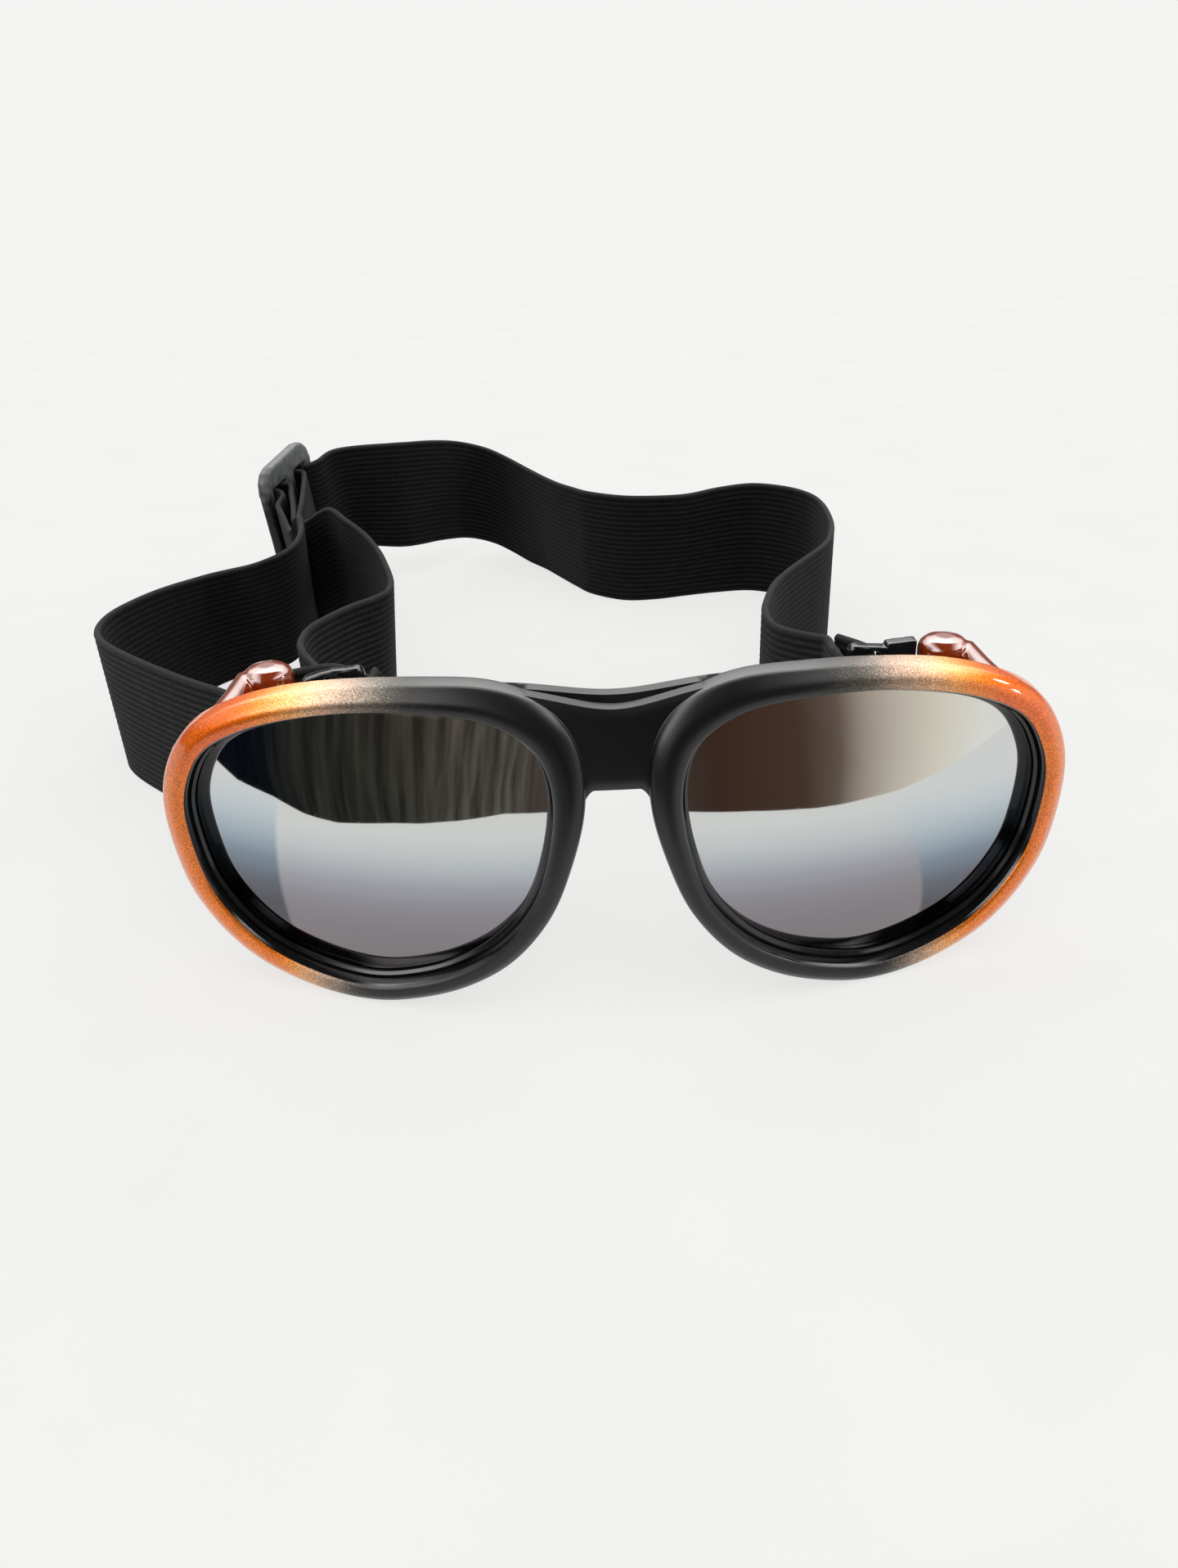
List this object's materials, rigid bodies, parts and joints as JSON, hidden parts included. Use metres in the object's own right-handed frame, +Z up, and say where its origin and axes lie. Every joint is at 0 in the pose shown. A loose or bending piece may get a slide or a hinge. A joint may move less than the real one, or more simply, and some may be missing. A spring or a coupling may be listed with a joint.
{
  "type": "wraparound sunglasses",
  "caption": "Wraparound sunglasses with smoke mirror lenses, a black frame that fades to orange at the sides, and an adjustable elastic strap in place of temples.",
  "frame": {"origin": "middle of the footprint of the frame and the lying strap, on the surface they rest on", "axes": "+Z up from the resting surface, the lenses face -Y, +X to the right of a viewer in front of the lenses"},
  "size_m": [0.1678, 0.223, 0.0509],
  "materials": {
    "fade_paint": "semi-matte black that fades to metallic orange at the outer sides",
    "gloss_black": "glossy black",
    "smoke_mirror": "smoke with a light mirror coat",
    "gloss_orange": "glossy orange",
    "screw_steel": "bright",
    "slider_plastic": "satin dark grey",
    "black_elastic": "woven elastic webbing"
  },
  "bodies": {
    "frame": {"front_frame": "fade_paint", "inner_frame": "gloss_black", "lens_left": "smoke_mirror", "lens_right": "smoke_mirror", "side_arm_left": "gloss_orange", "side_arm_right": "gloss_orange", "hinge_screw_left": "screw_steel", "hinge_screw_right": "screw_steel", "strap_right_run": "black_elastic", "strap_back_band": "black_elastic", "strap_outer_run": "black_elastic", "strap_left_loop": "black_elastic", "strap_inner_run": "black_elastic"},
    "clip_left": {"clip_left": "gloss_black"},
    "clip_right": {"clip_right": "gloss_black"},
    "slider": {"slider": "slider_plastic"}
  },
  "joints": [
    {"name": "clip_right_hinge", "type": "hinge", "parent": "frame", "child": "clip_right", "pos_m": [0.07478, -0.06313, 0.03], "axis": [0, 0, 1], "range_deg": [-90, 0], "deforming": ["strap_right_run"]},
    {"name": "clip_left_hinge", "type": "hinge", "parent": "frame", "child": "clip_left", "pos_m": [-0.03762, -0.06313, 0.03], "axis": [0, 0, 1], "range_deg": [0, 90], "deforming": ["strap_left_loop"]},
    {"name": "slider_slide", "type": "slide", "parent": "frame", "child": "slider", "axis": [0.2665, 0.9481, 0.1736], "range_m": [-0.005, 0.01], "deforming": ["strap_outer_run", "strap_inner_run", "strap_back_band"]}
  ]
}
